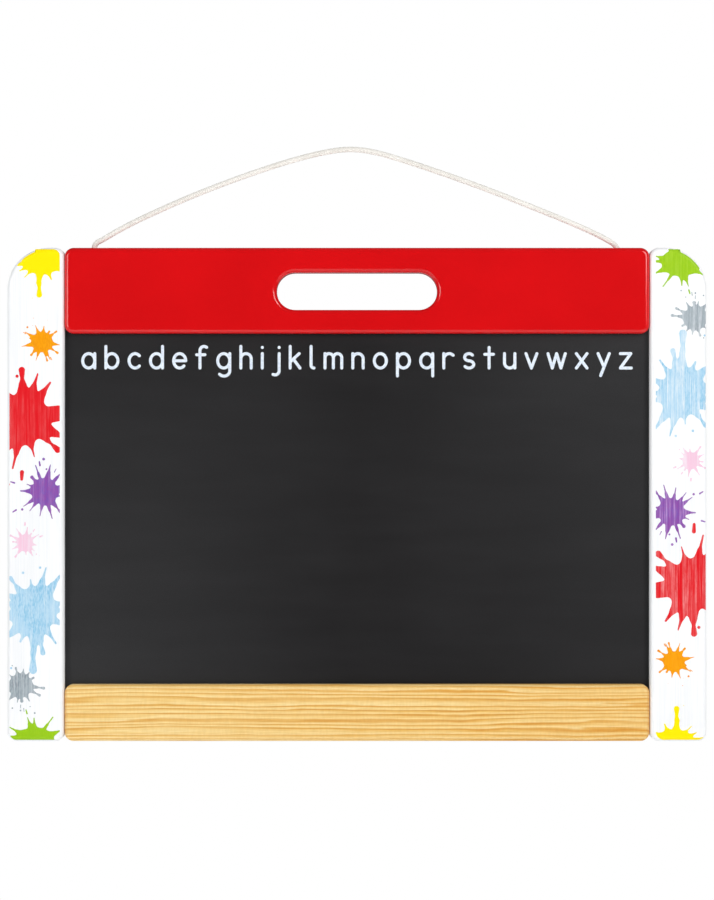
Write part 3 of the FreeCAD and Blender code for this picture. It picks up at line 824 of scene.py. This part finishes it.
def cross_directions(path):
    """Two directions square to a path at each of its points, which don't twist round it."""
    tangents = np.gradient(path, axis=0)
    tangents /= np.linalg.norm(tangents, axis=1)[:, None]
    across = np.zeros_like(tangents)
    guess = np.array((0.0, 1.0, 0.0))
    for index, tangent in enumerate(tangents):
        guess = guess - tangent * (guess @ tangent)
        guess /= np.linalg.norm(guess)
        across[index] = guess
    return across, np.cross(tangents, across)


def braid_relief(angle, travelled):
    """Height of a round braid's surface, 0 to 1: strands cross over and under each other."""
    turn = travelled / BRAID_LAY
    one = BRAID_STRANDS * (angle / (2 * math.pi) + turn)
    other = BRAID_STRANDS * (angle / (2 * math.pi) - turn)
    over = (np.floor(one) + np.floor(other)) % 2 < 0.5
    side_one = 2 * (one - np.floor(one)) - 1
    side_other = 2 * (other - np.floor(other)) - 1
    ridge = np.where(over, side_one, side_other)
    run = np.where(over, side_other, side_one)
    return (1 - ridge ** 2) * (0.55 + 0.45 * (1 - run ** 2))


def tube_mesh(name, path, radius_at, around):
    """A closed tube along a path, with flat ends; radius_at takes angles and distances."""
    across, upward = cross_directions(path)
    gaps = np.linalg.norm(np.diff(path, axis=0), axis=1)
    travelled = np.concatenate(([0.0], np.cumsum(gaps)))
    angles = np.linspace(0.0, 2 * math.pi, around, endpoint=False)
    grid_angle, grid_way = np.meshgrid(angles, travelled)
    radius = radius_at(grid_angle, grid_way)
    rings = (path[:, None, :]
             + radius[..., None] * (np.cos(grid_angle)[..., None] * across[:, None, :]
                                    + np.sin(grid_angle)[..., None] * upward[:, None, :]))
    vertices = [tuple(place) for place in rings.reshape(-1, 3)]
    faces = []
    for ring in range(len(path) - 1):
        for step in range(around):
            following = (step + 1) % around
            faces.append((ring * around + step, ring * around + following,
                          (ring + 1) * around + following, (ring + 1) * around + step))
    faces.append(tuple(reversed(range(around))))
    last = (len(path) - 1) * around
    faces.append(tuple(last + step for step in range(around)))
    mesh = bpy.data.meshes.new(name)
    mesh.from_pydata(vertices, [], faces)
    mesh.update()
    return mesh


cord_points = [(x * MM, 0.0, TOP + z * MM) for x, z in CORD_ROUTE]
cord_path = smooth_path("cord_route", cord_points, CORD_PITCH)


def cord_radius(angle, travelled):
    return CORD_DIAMETER / 2 + BRAID_RELIEF * (braid_relief(angle, travelled) - 0.6)


cord_piece = new_piece("cord", tube_mesh("cord", cord_path, cord_radius, CORD_AROUND),
                       shared(cotton), None, smooth=True)
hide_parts("hanging_cord", "cord_tail_left", "cord_tail_right")
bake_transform(cord_piece)

# ---------------------------------------------------------------- knots
KNOT_TURN = 0.92 * MM       # size of the knot's overhand loop
KNOT_DEPTH = 1.15           # how deep the loop is, against its size
KNOT_STRAND = 1.5 * MM
KNOT_RELIEF = 0.12 * MM
KNOT_AROUND = 20
KNOT_POINTS = 160
STUB_STRANDS = 12           # of the frayed end
STUB_RING = 0.85 * MM
STUB_RADIUS = 0.34 * MM
STUB_STEP = 0.35 * MM
STUB_AROUND = 7


def knot_path(middle, side):
    """An overhand knot's closed loop, which is a trefoil, about a middle."""
    turns = np.linspace(0.0, 2 * math.pi, KNOT_POINTS, endpoint=True)
    x = np.sin(turns) + 2 * np.sin(2 * turns)
    z = np.cos(turns) - 2 * np.cos(2 * turns)
    y = -KNOT_DEPTH * np.sin(3 * turns)
    return middle + KNOT_TURN * np.stack((side * x, y, z), axis=1)


def knot_radius(angle, travelled):
    return KNOT_STRAND + KNOT_RELIEF * (braid_relief(angle, travelled) - 0.5)


def stub_radius(angle, travelled):
    return np.full_like(angle, STUB_RADIUS)


def joined_mesh(name, meshes):
    """One mesh of several, which are then thrown away."""
    builder = bmesh.new()
    for mesh in meshes:
        builder.from_mesh(mesh)
        bpy.data.meshes.remove(mesh)
    result = bpy.data.meshes.new(name)
    builder.to_mesh(result)
    builder.free()
    return result


def add_knot(side_name, side):
    """The tied stopper knot in its pocket, with a short frayed end."""
    low, high = KNOTS[side_name]
    middle = (np.array(low) + np.array(high)) / 2
    meshes = [tube_mesh("knot_loop", knot_path(middle, side), knot_radius, KNOT_AROUND)]
    draw = random.Random(7 + side)
    for strand in range(STUB_STRANDS):
        turn = 2 * math.pi * strand / STUB_STRANDS
        ring = np.array((math.cos(turn), 0.0, math.sin(turn))) * STUB_RING
        start = middle + np.array((side * 0.6, 1.2, -1.6)) * MM + ring
        spread = np.array((draw.uniform(-1, 1), draw.uniform(-0.3, 0.6), draw.uniform(-1, 1)))
        end = start + np.array((side * 0.4, 2.9, -0.9)) * MM + (ring * 0.9 + spread * 0.6 * MM)
        bend = (start + end) / 2 + np.array((0.0, 0.5, 0.3)) * MM
        path = smooth_path("stub", [tuple(start), tuple(bend), tuple(end)], STUB_STEP)
        meshes.append(tube_mesh("stub", path, stub_radius, STUB_AROUND))
    return new_piece(f"knot_{side_name}_tied", joined_mesh(f"knot_{side_name}_tied", meshes),
                     shared(cotton), "board", smooth=True)


for side_name, side in (("left", -1), ("right", 1)):
    tied = add_knot(side_name, side)
    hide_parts(f"knot_{side_name}")

# ---------------------------------------------------------------- floor and light
FLOOR_DROP = 0.55           # below the board's lower edge
FLOOR_HALF = 1.9
FLOOR_GLOW = 0.8            # how much light the floor adds at its rim
GLOW_START = 0.7            # and how far out it begins
WHITE = (1.0, 1.0, 1.0, 1.0)


def floor_paper():
    """Pale studio paper that glows towards its rim, so that its edge melts into the white.

    Reflections don't see the glow, just as they see the white world dim.
    """
    shader = Shader("floor", 0.9, 0.1)
    cloud = shader.noise((3, 3, 3), 2.0)
    shader.colour(shader.ramp(cloud, [(0.3, linear(240, 240, 240)), (0.7, linear(246, 246, 246))]))
    away = shader.add("ShaderNodeVectorMath", {0: shader.place}, operation="LENGTH")
    glow = shader.add("ShaderNodeMapRange", {"Value": away.outputs["Value"], "From Min": GLOW_START,
                                             "From Max": FLOOR_HALF * 0.95, "To Max": FLOOR_GLOW},
                      interpolation_type="SMOOTHSTEP")
    reflected = shader.add("ShaderNodeLightPath").outputs["Is Glossy Ray"]
    strength = shader.math("MULTIPLY", glow.outputs[0], shader.math("SUBTRACT", 1.0, reflected))
    shader.surface.inputs["Emission Color"].default_value = WHITE
    shader.feed(shader.surface.inputs["Emission Strength"], strength)
    return shader.material


floor_builder = bmesh.new()
bmesh.ops.create_grid(floor_builder, x_segments=4, y_segments=4, size=FLOOR_HALF)
floor_mesh = bpy.data.meshes.new("floor")
floor_builder.to_mesh(floor_mesh)
floor_builder.free()
floor = bpy.data.objects.new("floor", floor_mesh)
floor.location = (0.0, 0.0, TOP - RAIL_HEIGHT - FLOOR_DROP)
scene.collection.objects.link(floor)
floor_mesh.materials.append(floor_paper())


def add_light(name, place, target, width, height, power, mirrored):
    """A soft rectangular lamp that faces its target."""
    light = bpy.data.lights.new(name, "AREA")
    light.shape = "RECTANGLE"
    light.size = width
    light.size_y = height
    light.energy = power
    lamp = bpy.data.objects.new(name, light)
    lamp.location = place
    lamp.visible_glossy = mirrored
    lamp.rotation_euler = (Vector(target) - Vector(place)).to_track_quat("-Z", "Y").to_euler()
    scene.collection.objects.link(lamp)


# How the surround changes from the sides (0) to straight in front or behind (1).
SURROUND = [(0.40, (0.49, 0.50, 0.51, 1.0)), (0.88, (0.02, 0.02, 0.02, 1.0))]
SEEN_IN_GLOSS = (0.10, 0.10, 0.10, 1.0)


def set_world():
    """White where the camera sees it. As light: a bright surround, dark in front and behind.

    Reflections see it dim, as with black flags round a studio, so the lacquers stay deep.
    """
    world = bpy.data.worlds.new("world")
    scene.world = world
    world.use_nodes = True
    nodes, links = world.node_tree.nodes, world.node_tree.links
    background = nodes["Background"]
    coordinates = nodes.new("ShaderNodeTexCoord")
    parts = nodes.new("ShaderNodeSeparateXYZ")
    links.new(coordinates.outputs["Generated"], parts.inputs[0])
    facing = nodes.new("ShaderNodeMath")
    facing.operation = "ABSOLUTE"
    links.new(parts.outputs["Y"], facing.inputs[0])
    ring = nodes.new("ShaderNodeValToRGB")
    for element, (share, colour) in zip(ring.color_ramp.elements, SURROUND):
        element.position = share
        element.color = colour
    links.new(facing.outputs[0], ring.inputs[0])
    seen = nodes.new("ShaderNodeLightPath")
    dimmed = nodes.new("ShaderNodeMix")
    dimmed.data_type = "RGBA"
    dimmed.inputs[7].default_value = SEEN_IN_GLOSS
    links.new(seen.outputs["Is Glossy Ray"], dimmed.inputs[0])
    links.new(ring.outputs["Color"], dimmed.inputs[6])
    choice = nodes.new("ShaderNodeMix")
    choice.data_type = "RGBA"
    links.new(seen.outputs["Is Camera Ray"], choice.inputs[0])
    links.new(dimmed.outputs[2], choice.inputs[6])
    choice.inputs[7].default_value = WHITE
    links.new(choice.outputs[2], background.inputs["Color"])
    background.inputs["Strength"].default_value = 1.0


set_world()
BOARD_MIDDLE = (0.0, 0.0, TOP - RAIL_HEIGHT / 2)
# name, place, width, height, power, and whether gloss mirrors the lamp: the rear ones would
# lie as a white glare on the top edge
LIGHTS = [
    ("key", (1.0, -1.25, 0.45), 0.7, 0.9, 16.4, True),
    ("fill", (-1.15, -1.2, 0.0), 0.8, 0.9, 10.0, True),
    ("low", (-0.55, -0.9, -1.0), 0.9, 0.25, 5.4, True),
    ("rear_key", (0.9, 1.25, 0.45), 0.8, 0.9, 11.2, False),
    ("rear_fill", (-1.15, 1.2, -0.1), 0.8, 0.9, 7.2, False),
]
for light_name, place, width, height, power, mirrored in LIGHTS:
    add_light(light_name, place, BOARD_MIDDLE, width, height, power, mirrored)
